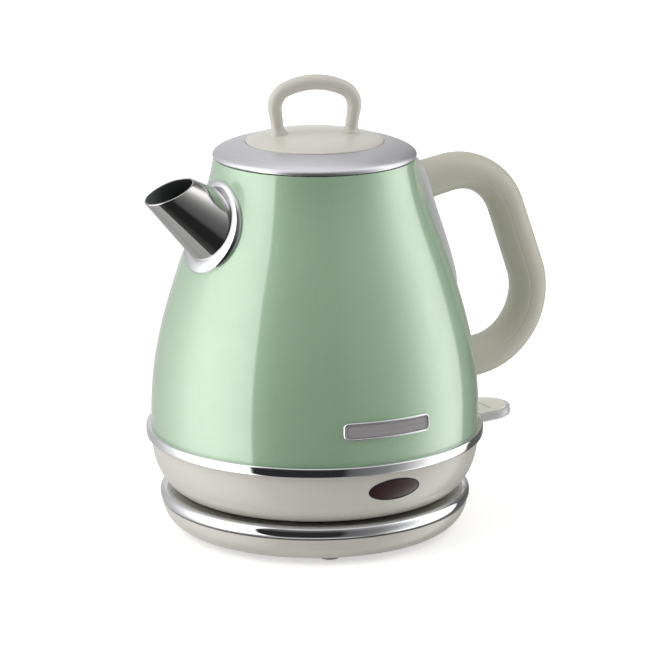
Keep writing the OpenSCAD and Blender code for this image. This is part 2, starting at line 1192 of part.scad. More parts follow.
module paddle_place() {
    translate(paddle_at)
        rotate([0, paddle_tilt, 0])
            children();
}

module switch_paddle() {
    color(cream)
        paddle_place()
            difference() {
                translate([0, 0, -paddle_t + 0.6])
                    linear_extrude(height = paddle_t - 0.6)
                        paddle_outline(paddle_edge);
                for (x = [8, 14])
                    translate([x, -8, -0.6])
                        cube([1, 16, 1]);
            }
}

module switch_rim() {
    color([0.6, 0.6, 0.6])
        paddle_place()
            difference() {
                translate([0, 0, -paddle_t])
                    linear_extrude(height = paddle_t - 0.6)
                        paddle_outline(0);
                translate([0, 0, -paddle_t + 0.6])
                    linear_extrude(height = paddle_t)
                        paddle_outline(paddle_edge);
            }
}

module switch_lever() {
    low = pivot[2] - lever_t / 2;
    color(cream)
        difference() {
            union() {
                translate([pivot[0] - lever_back, -lever_w / 2, low])
                    cube([lever_back + lever_ahead, lever_w, lever_t]);
                translate([pivot[0] - lever_t, -lever_w / 2, low])
                    cube([neck_w, lever_w, neck_h]);
                translate([pivot[0], -tongue_w / 2, paddle_at[2] - 3.4])
                    cube([paddle_at[0] - pivot[0], tongue_w, 3]);
                translate([pivot[0], lever_w / 2, pivot[2]])
                    rotate([90, 0, 0])
                        cylinder(h = lever_w, r = lever_hub_r);
            }
            translate([pivot[0], 0, pivot[2]])
                rotate([90, 0, 0])
                    cylinder(h = 40, r = pin_r, center = true);
            paddle_place()
                translate([0, -30, -20])
                    cube([40, 60, 40]);
        }
}

module switch_pin() {
    color(steel)
        translate([pivot[0], 0, pivot[2]])
            rotate([90, 0, 0])
                cylinder(h = 13, r = pin_r, center = true);
}

base_shell();
base_rim();
base_tray();
base_cover();
base_socket();
socket_contacts();
base_screws();
rubber_feet();
cord_gland();
cord_clamp();
base_leads();
kettle_connector();
jug();
jug_band();
lower_housing();
underside_cover();
housing_screws();
lens_bezel();
indicator_lens();
indicator_lamp();
lamp_leads();
heating_plate();
diffuser_plate();
heating_element();
plate_studs();
thermostat_body();
bimetal_discs();
control_screws();
steam_switch();
steam_tube();
switch_bracket();
spout_tube();
spout_collar();
filter_guides();
handle_shell();
handle_cover();
handle_inserts();
handle_screws();
gauge_frame();
gauge_window();
gauge_seal();
badge_plate();
badge_rim();
lid_rim();
lid_cap();
lid_knob();
lid_liner();
lid_seal();
lid_screws();
switch_paddle();
switch_rim();
switch_lever();
switch_pin();
filter_frame();
filter_mesh();
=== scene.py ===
"""Looks of a cordless electric kettle on its power base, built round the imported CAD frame.

Lengths are in millimetres until make_object turns them into metres. X runs from the spout to the
handle, the photographed side looks towards -Y, and z = 0 is the face of the feet.
"""

import json
import math

import bmesh
import bpy
from mathutils import Matrix, Vector


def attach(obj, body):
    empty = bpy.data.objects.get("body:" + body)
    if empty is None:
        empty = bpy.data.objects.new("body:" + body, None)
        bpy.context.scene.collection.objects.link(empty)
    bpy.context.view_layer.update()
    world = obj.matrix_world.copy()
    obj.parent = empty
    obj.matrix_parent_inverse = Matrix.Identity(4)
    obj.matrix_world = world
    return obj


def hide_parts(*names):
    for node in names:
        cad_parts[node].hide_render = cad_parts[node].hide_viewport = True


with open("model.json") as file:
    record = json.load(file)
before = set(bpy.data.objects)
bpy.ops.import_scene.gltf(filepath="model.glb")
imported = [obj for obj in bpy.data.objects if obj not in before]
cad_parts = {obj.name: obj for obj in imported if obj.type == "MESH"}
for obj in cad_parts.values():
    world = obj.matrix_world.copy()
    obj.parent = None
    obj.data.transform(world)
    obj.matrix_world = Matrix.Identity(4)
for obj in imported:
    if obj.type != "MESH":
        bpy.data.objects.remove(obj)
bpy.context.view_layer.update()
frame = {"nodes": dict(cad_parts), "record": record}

MM = 0.001
CREAM = (0.68, 0.66, 0.60)
HANDLE_CREAM = (0.60, 0.575, 0.49)
GREEN = (0.41, 0.60, 0.40)
ALONG_Y = Vector((0, 1, 0))


# ---------------------------------------------------------------- curves

def bezier(p, count):
    """Points of a cubic curve, ends included."""
    out = []
    for k in range(count + 1):
        t = k / count
        weights = ((1 - t) ** 3, 3 * t * (1 - t) ** 2, 3 * t * t * (1 - t), t ** 3)
        out.append(tuple(sum(w * q[axis] for w, q in zip(weights, p)) for axis in (0, 1)))
    return out


def arc(cx, cy, rx, ry, start, end, count):
    """Points of an elliptic arc from start to end degrees, ends included."""
    turns = [math.radians(start + (end - start) * k / count) for k in range(count + 1)]
    return [(cx + rx * math.cos(a), cy + ry * math.sin(a)) for a in turns]


def full_arc(cx, cy, rx, ry, power, start, end, count):
    """Arc of a squared-off ellipse: the higher the power, the flatter its sides."""
    out = []
    for k in range(count + 1):
        a = math.radians(start + (end - start) * k / count)
        c, s = math.cos(a), math.sin(a)
        out.append((cx + rx * math.copysign(abs(c) ** (2 / power), c),
                    cy + ry * math.copysign(abs(s) ** (2 / power), s)))
    return out


def ease(t):
    """Smooth step from 0 to 1."""
    t = min(1.0, max(0.0, t))
    return t * t * (3 - 2 * t)


def turn_of(k, count):
    """Angle in radians of the k-th of count equal steps of a full turn."""
    return 2 * math.pi * k / count


def circle(r, z, count, cx=0.0, cy=0.0):
    """Level ring of points."""
    return [(cx + r * math.cos(turn_of(k, count)), cy + r * math.sin(turn_of(k, count)), z)
            for k in range(count)]


def table(knots, x):
    """Smooth value at x between (x, value) knots."""
    if x <= knots[0][0]:
        return knots[0][1]
    for (x0, v0), (x1, v1) in zip(knots, knots[1:]):
        if x <= x1:
            return v0 + (v1 - v0) * ease((x - x0) / (x1 - x0))
    return knots[-1][1]


# ---------------------------------------------------------------- sizes shared by pieces

JUG_FOOT_R, JUG_FOOT_Z = 79.7, 46.0
BAND_Z = 48.4
SHOULDER = (66.8, 126.0)
MOUTH_R, MOUTH_Z = 48.6, 182.5
JUG_WALL = 0.6
BARREL = [(79.7, 50.8), (80.3, 82.0), (74.2, 103.0), SHOULDER]
NECK = [SHOULDER, (60.4, 146.0), (51.5, 162.0), (MOUTH_R, MOUTH_Z)]
JUG_SIDE = [(JUG_FOOT_R, JUG_FOOT_Z)] + bezier(BARREL, 60) + bezier(NECK, 60)[1:]
HOUSING_SIDE = bezier([(68.0, 20.5), (73.0, 23.2), (79.8, 31.6), (79.5, 45.6)], 40)


def radius_at(side, z):
    """Radius of a side line at height z."""
    for (r0, z0), (r1, z1) in zip(side, side[1:]):
        if z0 <= z <= z1:
            return r0 + (r1 - r0) * (z - z0) / (z1 - z0) if z1 > z0 else r0
    return side[0][0] if z < side[0][1] else side[-1][0]


def jug_radius(z):
    """Radius of the jug's outside at height z."""
    return radius_at(JUG_SIDE, z)


def jug_normal(x, y, z):
    """Outward unit vector of the jug's surface at a point on it."""
    slope = jug_radius(z + 0.5) - jug_radius(z - 0.5)
    flat = math.hypot(x, y)
    return Vector((x / flat, y / flat, -slope)).normalized()


# ---------------------------------------------------------------- meshes

MERGE_DISTANCE = 0.002
SLIVER = 1e-7
SOFT_ANGLE = 32.0


def make_object(name, points, faces, kinds=None):
    """Mesh object from points in millimetres. kinds holds a material number for each face."""
    mesh = bpy.data.meshes.new(name)
    mesh.from_pydata([(p[0] * MM, p[1] * MM, p[2] * MM) for p in points], [], faces)
    if kinds:
        mesh.polygons.foreach_set("material_index", kinds)
    mesh.update()
    piece = bpy.data.objects.new(name, mesh)
    bpy.context.scene.collection.objects.link(piece)
    return piece


def tidy(piece, angle=SOFT_ANGLE):
    """Merges doubled points, turns faces outwards and marks the edges sharper than angle."""
    bm = bmesh.new()
    bm.from_mesh(piece.data)
    bmesh.ops.remove_doubles(bm, verts=bm.verts, dist=MERGE_DISTANCE * MM)
    bmesh.ops.dissolve_degenerate(bm, dist=SLIVER, edges=bm.edges)
    bmesh.ops.recalc_face_normals(bm, faces=bm.faces)
    limit = math.radians(angle)
    for face in bm.faces:
        face.smooth = True
    for edge in bm.edges:
        edge.smooth = len(edge.link_faces) == 2 and edge.calc_face_angle() < limit
    bm.to_mesh(piece.data)
    bm.free()
    piece.data.update()
    return piece


def lattice(rows, close_rows=False, start=0):
    """Quads between closed rings of equal length. close_rows joins the last ring to the first."""
    count, width = len(rows), len(rows[0])
    faces = []
    for i in range(count if close_rows else count - 1):
        a, b = start + i * width, start + (i + 1) % count * width
        for j in range(width):
            k = (j + 1) % width
            faces.append((a + j, a + k, b + k, b + j))
    return faces


def joined(rows):
    """All the points of the rows in one list."""
    return [p for row in rows for p in row]


def looped(name, rows, angle=SOFT_ANGLE, kinds=None):
    """Solid between closed rings of equal length, the last of which joins the first."""
    faces = lattice(rows, close_rows=True)
    return tidy(make_object(name, joined(rows), faces, kinds), angle)


def spun(name, loop, turns=256, kinds=None):
    """Solid of revolution of a closed loop of (radius, z). kinds has a material for each side."""
    marks = [kind for kind in kinds for _ in range(turns)] if kinds else None
    return looped(name, [circle(r, z, turns) for r, z in loop], kinds=marks)


def lofted(name, rows, angle=SOFT_ANGLE):
    """Solid between closed rings of equal length, with flat ends."""
    width, count = len(rows[0]), len(rows)
    ends = [tuple(range(width)), tuple(range((count - 1) * width, count * width))]
    return tidy(make_object(name, joined(rows), lattice(rows) + ends), angle)


def box_between(name, low, high, at=Matrix.Identity(4)):
    """Plain box moved by the matrix at, used to cut holes."""
    points = [at @ Vector((x, y, z)) for x in (low[0], high[0]) for y in (low[1], high[1])
              for z in (low[2], high[2])]
    faces = [(0, 1, 3, 2), (4, 6, 7, 5), (0, 4, 5, 1), (2, 3, 7, 6), (0, 2, 6, 4), (1, 5, 7, 3)]
    return tidy(make_object(name, points, faces))


def ring_about(centre, r, up, side, count):
    """Ring of points in the plane of the unit vectors up and side."""
    return [centre + r * (math.cos(turn_of(k, count)) * up + math.sin(turn_of(k, count)) * side)
            for k in range(count)]


def pipe_between(name, start, end, r, turns=32):
    """Plain cylinder between two points, used to cut holes."""
    a, b = Vector(start), Vector(end)
    axis = (b - a).normalized()
    side = axis.orthogonal().normalized()
    other = axis.cross(side)
    return lofted(name, [ring_about(centre, r, side, other, turns) for centre in (a, b)])


def cut(piece, *tools):
    """Takes the tools out of the piece."""
    for tool in tools:
        bite = piece.modifiers.new("bite", "BOOLEAN")
        bite.operation = "DIFFERENCE"
        bite.solver = "EXACT"
        bite.object = tool
    bpy.context.view_layer.update()
    bitten = piece.evaluated_get(bpy.context.evaluated_depsgraph_get())
    shaped = bpy.data.meshes.new_from_object(bitten)
    piece.modifiers.clear()
    old = piece.data
    piece.data = shaped
    bpy.data.meshes.remove(old)
    for tool in tools:
        bpy.data.objects.remove(tool)
    return tidy(piece)


def turned_about_z(points, degrees):
    """The points turned about the kettle's axis."""
    turn = Matrix.Rotation(math.radians(degrees), 4, "Z")
    return [turn @ Vector(p) for p in points]


# ---------------------------------------------------------------- materials

NOISE_LOW, NOISE_HIGH = 0.3, 0.7


def new_material(name):
    """Material, its tree, its shader and the object coordinates that its patterns lie on."""
    mat = bpy.data.materials.new(name)
    mat.use_nodes = True
    tree = mat.node_tree
    spot = tree.nodes.new("ShaderNodeTexCoord").outputs["Object"]
    return mat, tree, tree.nodes["Principled BSDF"], spot


def noise(tree, vector, scale, detail=3.0, rough=0.5):
    """Noise texture with scale waves to the metre."""
    tex = tree.nodes.new("ShaderNodeTexNoise")
    tex.inputs["Scale"].default_value = scale
    tex.inputs["Detail"].default_value = detail
    tex.inputs["Roughness"].default_value = rough
    tree.links.new(vector, tex.inputs["Vector"])
    return tex.outputs["Fac"]


def between(tree, value, low, high):
    """Spreads a noise value over low to high."""
    node = tree.nodes.new("ShaderNodeMapRange")
    node.inputs["From Min"].default_value = NOISE_LOW
    node.inputs["From Max"].default_value = NOISE_HIGH
    node.inputs["To Min"].default_value = low
    node.inputs["To Max"].default_value = high
    tree.links.new(value, node.inputs["Value"])
    return node.outputs["Result"]


def tinted(tree, value, colour, change):
    """Colour that wanders a little between two shades."""
    ramp = tree.nodes.new("ShaderNodeValToRGB")
    darker, lighter = ramp.color_ramp.elements
    darker.position, lighter.position = NOISE_LOW, NOISE_HIGH
    darker.color = [c * (1 - change) for c in colour] + [1]
    lighter.color = [min(1, c * (1 + change)) for c in colour] + [1]
    tree.links.new(value, ramp.inputs["Fac"])
    return ramp.outputs["Color"]


def bumped(tree, height, depth, strength):
    """Bump of that depth in metres."""
    node = tree.nodes.new("ShaderNodeBump")
    node.inputs["Distance"].default_value = depth
    node.inputs["Strength"].default_value = strength
    tree.links.new(height, node.inputs["Height"])
    return node.outputs["Normal"]


def skin(tree, shader, colour, roughness, normal):
    """Links a colour, a roughness and a normal to the shader."""
    tree.links.new(colour, shader.inputs["Base Color"])
    tree.links.new(roughness, shader.inputs["Roughness"])
    tree.links.new(normal, shader.inputs["Normal"])


def plastic(name, colour, rough, spread=0.05, grain=900.0, depth=0.00002, coat=0.0,
            coat_rough=0.05, see=0.0, ior=1.5, change=0.015):
    """Moulded plastic: faint colour drift, uneven gloss and fine grain."""
    mat, tree, shader, spot = new_material(name)
    skin(tree, shader, tinted(tree, noise(tree, spot, 28.0), colour, change),
         between(tree, noise(tree, spot, 160.0, 4.0), rough - spread, rough + spread),
         bumped(tree, noise(tree, spot, grain, 2.0), depth, 0.6))
    shader.inputs["IOR"].default_value = ior
    shader.inputs["Coat Weight"].default_value = coat
    shader.inputs["Coat Roughness"].default_value = coat_rough
    shader.inputs["Transmission Weight"].default_value = see
    return mat


def metal(name, colour, rough, spread=0.03, grain=300.0, depth=0.000004):
    """Bare or plated metal: uneven polish and fine marks."""
    mat, tree, shader, spot = new_material(name)
    skin(tree, shader, tinted(tree, noise(tree, spot, 40.0), colour, 0.02),
         between(tree, noise(tree, spot, 120.0, 5.0), max(0.01, rough - spread), rough + spread),
         bumped(tree, noise(tree, spot, grain, 3.0), depth, 0.5))
    shader.inputs["Metallic"].default_value = 1.0
    return mat


def ring_brushed(name, colour, rough, pitch, depth):
    """Metal brushed in rings about the kettle's axis."""
    mat, tree, shader, spot = new_material(name)
    split = tree.nodes.new("ShaderNodeSeparateXYZ")
    tree.links.new(spot, split.inputs[0])
    flat = tree.nodes.new("ShaderNodeCombineXYZ")
    tree.links.new(split.outputs["X"], flat.inputs["X"])
    tree.links.new(split.outputs["Y"], flat.inputs["Y"])
    length = tree.nodes.new("ShaderNodeVectorMath")
    length.operation = "LENGTH"
    tree.links.new(flat.outputs[0], length.inputs[0])
    lines = tree.nodes.new("ShaderNodeCombineXYZ")
    tree.links.new(length.outputs["Value"], lines.inputs["X"])
    tree.links.new(split.outputs["Z"], lines.inputs["Z"])
    scratch = noise(tree, lines.outputs[0], 1.0 / pitch, 4.0, 0.7)
    skin(tree, shader, tinted(tree, scratch, colour, 0.06),
         between(tree, noise(tree, spot, 60.0, 2.0), rough - 0.04, rough + 0.05),
         bumped(tree, scratch, depth, 0.5))
    shader.inputs["Metallic"].default_value = 1.0
    return mat


def paint(name, colour):
    """Pearl enamel under clear lacquer, with a faint orange peel."""
    mat, tree, shader, spot = new_material(name)
    skin(tree, shader, tinted(tree, noise(tree, spot, 1400.0, 2.0), colour, 0.03),
         between(tree, noise(tree, spot, 90.0, 3.0), 0.36, 0.44),
         bumped(tree, noise(tree, spot, 2600.0, 2.0), 0.000012, 0.35))
    peel = bumped(tree, noise(tree, spot, 240.0, 1.0), 0.000012, 0.35)
    tree.links.new(peel, shader.inputs["Coat Normal"])
    shader.inputs["Metallic"].default_value = 0.25
    shader.inputs["Coat Weight"].default_value = 1.0
    shader.inputs["Coat Roughness"].default_value = 0.03
    shader.inputs["Coat IOR"].default_value = 1.9
    return mat


# Numbers of a plastic or metal: colour, roughness, its spread, grains to the metre, depth in metres
MATERIALS = {
    "green_paint": paint("pearl_green_enamel", GREEN),
    "chrome": metal("chrome_plate", (0.72, 0.725, 0.74), 0.05, 0.015, 220.0, 0.000002),
    "polish": metal("polished_steel", (0.50, 0.495, 0.49), 0.10, 0.03, 350.0, 0.000004),
    "bare_steel": metal("bare_steel", (0.58, 0.575, 0.57), 0.30, 0.06, 900.0, 0.000008),
    "rim_steel": ring_brushed("ring_brushed_steel", (0.69, 0.685, 0.72), 0.38, 0.0004, 0.000006),
    # Inside of the spout: a dark dull non-metal, painted shade standing in for the dark inside of
    # the steel spout
    "spout_inner": plastic("spout_painted_shade_dark", (0.14, 0.15, 0.15), 0.60, 0.04, 700.0, 0.000008),
    "tray_edge": metal("satin_steel", (0.62, 0.62, 0.60), 0.34, 0.03, 900.0, 0.000006),
    "screw_steel": metal("screw_steel", (0.55, 0.55, 0.56), 0.26, 0.06, 1200.0, 0.00001),
    "cream_plastic": plastic("cream_gloss_plastic", CREAM, 0.32, 0.015, 1400.0, 0.000006,
                             coat=0.25, coat_rough=0.10),
    "handle_plastic": plastic("cream_satin_plastic", HANDLE_CREAM, 0.42, 0.02, 1500.0, 0.000012),
    # The paddle's cream is painted near white: painted light that makes up for the shade of the jug
    # and handle on its top
    "paddle_plastic": plastic("cream_plastic_painted_light", (0.96, 0.94, 0.86), 0.35, 0.02, 1500.0,
                              0.00001),
    "black_plastic": plastic("black_plastic", (0.018, 0.018, 0.020), 0.42, 0.06, 1300.0,
                             0.00003, change=0.1),
    "control_plastic": plastic("control_plastic", (0.70, 0.66, 0.54), 0.5, 0.05, 900.0, 0.00002),
    "grey_plastic": plastic("smoke_clear_plastic", (0.90, 0.90, 0.89), 0.20, 0.02, 700.0,
                            0.000008, see=0.35),
    "clear_plastic": plastic("clear_plastic", (0.93, 0.96, 0.94), 0.08, 0.03, 600.0, 0.00001,
                             see=0.95, ior=1.49),
    "frosted_plastic": plastic("frosted_plastic", (0.68, 0.69, 0.68), 0.34, 0.03, 900.0, 0.00001,
                               see=0.2, ior=1.49),
    "lens_plastic": plastic("dark_red_lens", (0.036, 0.010, 0.013), 0.20, 0.02, 900.0, 0.000004,
                            change=0.12),
    "lamp_glass": plastic("lamp_glass", (0.9, 0.6, 0.45), 0.08, 0.03, 500.0, 0.000005, see=0.9),
    "silicone": plastic("silicone", (0.80, 0.80, 0.77), 0.5, 0.06, 1100.0, 0.00002),
    "black_rubber": plastic("black_rubber", (0.05, 0.05, 0.05), 0.62, 0.06, 1500.0, 0.00004,
                            change=0.08),
    "grey_rubber": plastic("grey_rubber", (0.44, 0.43, 0.39), 0.62, 0.06, 1500.0, 0.00004,
                           change=0.08),
    "aluminium": metal("cast_aluminium", (0.62, 0.62, 0.63), 0.4, 0.08, 700.0, 0.00002),
    "brass": metal("brass", (0.70, 0.52, 0.24), 0.25, 0.06, 800.0, 0.00001),
    "badge_grey": plastic("badge_grey_enamel", (0.36, 0.345, 0.35), 0.40, 0.05, 1500.0, 0.00002,
                          change=0.05),
}


def dress(piece, *finishes):
    """Gives a mesh its materials. Each face keeps its material number."""
    faces = piece.data.polygons
    kinds = [min(face.material_index, len(finishes) - 1) for face in faces]
    piece.data.materials.clear()
    for finish in finishes:
        piece.data.materials.append(MATERIALS[finish])
    faces.foreach_set("material_index", kinds)
    return piece


def place(piece, body, slot, nodes, finishes=None):
    """Gives a new piece its materials (the slot's, unless finishes are given) and its body, and
    hides the CAD nodes that it stands for.
    """
    dress(piece, *(finishes or (slot,)))
    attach(piece, body)
    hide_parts(*nodes)
    return piece


# ---------------------------------------------------------------- jug, band and lower housing

SPOUT_AT = Vector((-60.0, 0.0, 157.8))
SPOUT_RISE = math.radians(37.5)
SPOUT_AXIS = Vector((-math.cos(SPOUT_RISE), 0, math.sin(SPOUT_RISE)))
SPOUT_UP = Vector((math.sin(SPOUT_RISE), 0, math.cos(SPOUT_RISE)))
SPOUT_R, SPOUT_TAPER, SPOUT_LEN, SPOUT_WALL = 16.2, 0.211, 24.4, 0.9
MOUTH_NORMAL = Vector((-math.sin(math.radians(23)), 0, math.cos(math.radians(23))))


def spout_point(s, turn, grow=0.0):
    """Point on the spout's cone at distance s along its axis and turn radians round it."""
    r = SPOUT_R - SPOUT_TAPER * s + grow
    out = math.cos(turn) * SPOUT_UP + math.sin(turn) * ALONG_Y
    return SPOUT_AT + s * SPOUT_AXIS + r * out


def solve(low, high, outside):
    """Where outside(s) turns from False to True between low and high."""
    for _ in range(40):
        middle = (low + high) / 2
        if outside(middle):
            high = middle
        else:
            low = middle
    return (low + high) / 2


def spout_root(turn, grow, depth):
    """Distance along the axis at which the cone's line leaves the jug's surface, less depth."""
    def outside(s):
        p = spout_point(s, turn, grow)
        return math.hypot(p.x, p.y) > jug_radius(p.z) - depth
    return solve(-30.0, 30.0, outside)


def spout_mouth(turn, grow, back=0.0):
    """Distance along the axis at which the cone's line meets the mouth's plane."""
    centre = SPOUT_AT + (SPOUT_LEN - back) * SPOUT_AXIS
    def outside(s):
        return (spout_point(s, turn, grow) - centre).dot(MOUTH_NORMAL) > 0
    return solve(-10.0, 60.0, outside)


LIP_R, LIP_WIDTH, LIP_DEPTH, LIP_UNDER = 0.55, 2.2, 3.0, 1.2
GAUGE_HOLE = ((20, -6.1, 93.7), (100, 6.1, 149.3))
HANDLE_HOLES, HANDLE_HOLE_R, HANDLE_HOLE_LEN = ((45, 164), (72, 71)), 1.5, 20
SPOUT_HOLE_GROW, SPOUT_HOLE_ENDS = 0.02, (-20.0, 44.0)


def build_jug():
    """Steel jug: green outside, bare inside, with its rolled lip and its holes."""
    rim = arc(MOUTH_R - LIP_R, MOUTH_Z - LIP_R, LIP_R, LIP_R, 0, 90, 6)
    outer = [p for p in JUG_SIDE if p[1] < MOUTH_Z - LIP_R] + rim
    lip_r, lip_z = MOUTH_R - LIP_WIDTH, MOUTH_Z - LIP_DEPTH
    lip = arc(lip_r + LIP_R, MOUTH_Z - LIP_R, LIP_R, LIP_R, 90, 180, 6)
    lip += [(lip_r, lip_z), (lip_r + JUG_WALL, lip_z), (lip_r + JUG_WALL, MOUTH_Z - LIP_UNDER),
            (MOUTH_R - JUG_WALL - 0.1, MOUTH_Z - LIP_UNDER)]
    inner_top = MOUTH_Z - LIP_UNDER - 0.2
    inner = [(r - JUG_WALL, z) for r, z in JUG_SIDE if z < inner_top][::-1]
    loop = outer + lip + inner
    kinds = [0 if i < len(outer) - 1 else 1 for i in range(len(loop))]
    finishes = ("green_paint", "bare_steel")
    jug = dress(spun("jug_shell", loop, kinds=kinds), *finishes)
    spout_hole = lofted("spout_hole", [[spout_point(s, turn_of(k, 96), SPOUT_HOLE_GROW)
                                        for k in range(96)] for s in SPOUT_HOLE_ENDS])
    window = box_between("gauge_hole", *GAUGE_HOLE)
    bores = [pipe_between("screw_hole", (x, 0, z), (x + HANDLE_HOLE_LEN, 0, z), HANDLE_HOLE_R)
             for x, z in HANDLE_HOLES]
    cut(jug, spout_hole, window, *bores)
    return place(jug, "kettle", "green_paint", ["jug"], finishes)


BAND_IN, BAND_DEPTH, BAND_HALF, BAND_POWER = 79.72, 2.5, 2.45, 5.0
BAND_END = 0.02


def build_band():
    """Band with rounded edges that covers the joint of jug and housing."""
    bead = full_arc(BAND_IN, BAND_Z, BAND_DEPTH, BAND_HALF, BAND_POWER, -88, 88, 40)
    loop = [(BAND_IN, BAND_Z - BAND_HALF + BAND_END)] + bead
    loop += [(BAND_IN, BAND_Z + BAND_HALF - BAND_END)]
    return place(spun("chrome_band", loop), "kettle", "chrome", ["jug_band"])


LENS_W, LENS_H, LENS_Z = 26.6, 10.2, 37.0
LENS_EDGE, LENS_SLACK = 0.4, 0.1
LENS_BACK, LENS_SINK, LENS_DOME, LENS_STEPS = -2.1, -0.15, 0.45, 13
# Across the dark edge: share of its width, height over the housing
BEZEL = ((1.0, -2.0), (1.0, 0.05), (0.8, 0.16), (0.25, 0.16), (0.0, 0.05), (0.0, -2.0))


def lens_ring(w, h, out):
    """Ellipse on the housing's front, out millimetres from its surface."""
    ring = []
    for k in range(96):
        x = w / 2 * math.cos(turn_of(k, 96))
        z = LENS_Z + h / 2 * math.sin(turn_of(k, 96))
        r = radius_at(HOUSING_SIDE, z) + out
        ring.append((x, -math.sqrt(r * r - x * x), z))
    return ring


HOUSING_WALL, HOUSING_EDGE = 2.2, 0.6
LEDGE_TOP, LEDGE_LOW, LEDGE_T = 49.6, 43.6, 1.6
SWITCH_SLOT = ((70, -11.5, 37.5), (90, 11.5, 51))


def build_housing():
    """Cream housing between the band and the base, with the lamp's hole and the switch's slot."""
    (low_r, low_z), top_z = HOUSING_SIDE[0], HOUSING_SIDE[-1][1]
    foot = arc(low_r - HOUSING_EDGE, low_z + HOUSING_EDGE, HOUSING_EDGE, HOUSING_EDGE, 200, 300, 6)
    ledge_r = JUG_FOOT_R - JUG_WALL - 0.3
    ledge = [(ledge_r, top_z), (ledge_r, LEDGE_TOP), (ledge_r - LEDGE_T, LEDGE_TOP),
             (ledge_r - LEDGE_T, LEDGE_LOW)]
    inner = [(r - HOUSING_WALL, z) for r, z in HOUSING_SIDE[::-1]
             if low_z + 1.0 < z < LEDGE_LOW - 0.1]
    loop = foot + HOUSING_SIDE[2:] + ledge + inner + [(low_r - HOUSING_WALL, low_z + 0.4)]
    housing = spun("housing", loop)
    outline = lens_ring(LENS_W + 2 * LENS_EDGE, LENS_H + 2 * LENS_EDGE, 0)
    hole = lofted("lamp_hole", [[(x, y - 6, z) for x, y, z in outline],
                                [(x, -60, z) for x, _, z in outline]])
    cut(housing, hole, box_between("switch_slot", *SWITCH_SLOT))
    return place(housing, "kettle", "cream_plastic", ["lower_housing"])


def build_lens():
    """Oval lamp window: a thin black edge and a gently domed red lens."""
    rows = []
    for share, out in BEZEL:
        edge = 2 * LENS_EDGE * share
        rows.append(lens_ring(LENS_W + edge, LENS_H + edge, out))
    place(looped("lamp_bezel", rows), "kettle", "black_plastic", ["lens_bezel"])
    w, h = LENS_W - LENS_SLACK, LENS_H - LENS_SLACK
    rows = [lens_ring(w, h, LENS_BACK), lens_ring(w, h, LENS_SINK)]
    for k in range(1, LENS_STEPS):
        a = math.radians(90 * k / LENS_STEPS)
        out = LENS_SINK + LENS_DOME * math.sin(a) ** 0.8
        rows.append(lens_ring(w * math.cos(a), h * math.cos(a), out))
    lens = lofted("lamp_lens", rows, 50)
    return place(lens, "kettle", "lens_plastic", ["indicator_lens"])


# ---------------------------------------------------------------- spout

def spout_side(turn, grow, t):
    """Point of the cone's line at turn, a share t of the way from the jug to the mouth."""
    low = spout_root(turn, grow, JUG_WALL)
    high = spout_mouth(turn, grow, SPOUT_WALL / 2)
    return spout_point(low + (high - low) * t, turn, grow)


def build_spout():
    """Thin rolled cone with a slanted mouth and a rounded lip; its inside is dull and painted dark,
    which is painted shade.
    """
    steps, lip_steps, half = 36, 8, SPOUT_WALL / 2
    turns = [turn_of(k, 128) for k in range(128)]
    rows = [[spout_side(turn, 0.0, t / steps) for turn in turns] for t in range(steps + 1)]
    for k in range(1, lip_steps):
        a = math.pi * k / lip_steps
        back, grow = half * (1 - math.sin(a)), -half + half * math.cos(a)
        rows.append([spout_point(spout_mouth(turn, -half, back), turn, grow) for turn in turns])
    for t in range(steps, -1, -1):
        rows.append([spout_side(turn, -SPOUT_WALL, t / steps) for turn in turns])
    # Rows past last_bright are the spout's inside, which gets the painted shade material
    last_bright = steps + lip_steps - 3
    kinds = [int(i > last_bright) for i in range(len(rows)) for _ in turns]
    cone = looped("spout_cone", rows, 40, kinds)
    return place(cone, "kettle", "chrome", ["spout_tube"], ("polish", "spout_inner"))


COLLAR_W, COLLAR_H, COLLAR_POWER, COLLAR_SINK = 5.0, 2.6, 2.6, 0.5


def build_collar():
    """Rounded ring that hides the joint of spout and jug."""
    count, steps = 160, 18
    turns = [turn_of(k, count) for k in range(count)]
    joints = [spout_point(spout_root(turn, 0.0, 0.0), turn) for turn in turns]
    section = full_arc(0, 0, 1, 1, COLLAR_POWER, 52, 180, steps)
    inmost = section[0][0]
    rings = [[] for _ in range(steps + 2)]
    for k, p in enumerate(joints):
        along = (joints[(k + 1) % count] - joints[k - 1]).normalized()
        up = jug_normal(p.x, p.y, p.z)
        away = along.cross(up).normalized()
        line = (spout_point(1.0, turns[k]) - spout_point(0.0, turns[k])).normalized()
        rise = line / max(0.5, line.dot(up))
        centre = SPOUT_AT + SPOUT_AXIS * (p - SPOUT_AT).dot(SPOUT_AXIS)
        if away.dot(p - centre) < 0:
            away = -away
        for i, (across, lift) in enumerate(section):
            q = p + away * (COLLAR_W * (inmost - across) / (inmost + 1))
            fit = jug_radius(min(q.z, MOUTH_Z)) / math.hypot(q.x, q.y)
            q = Vector((q.x * fit, q.y * fit, q.z))
            lean = (1 - i / steps) ** 2
            rings[i].append(q + (rise * lean + up * (1 - lean)) * COLLAR_H * lift)
        rings[-1].append(p + away * COLLAR_W / 2 - up * COLLAR_SINK)
    return place(looped("spout_ring", rings, 40), "kettle", "chrome", ["spout_collar"])


# ---------------------------------------------------------------- handle

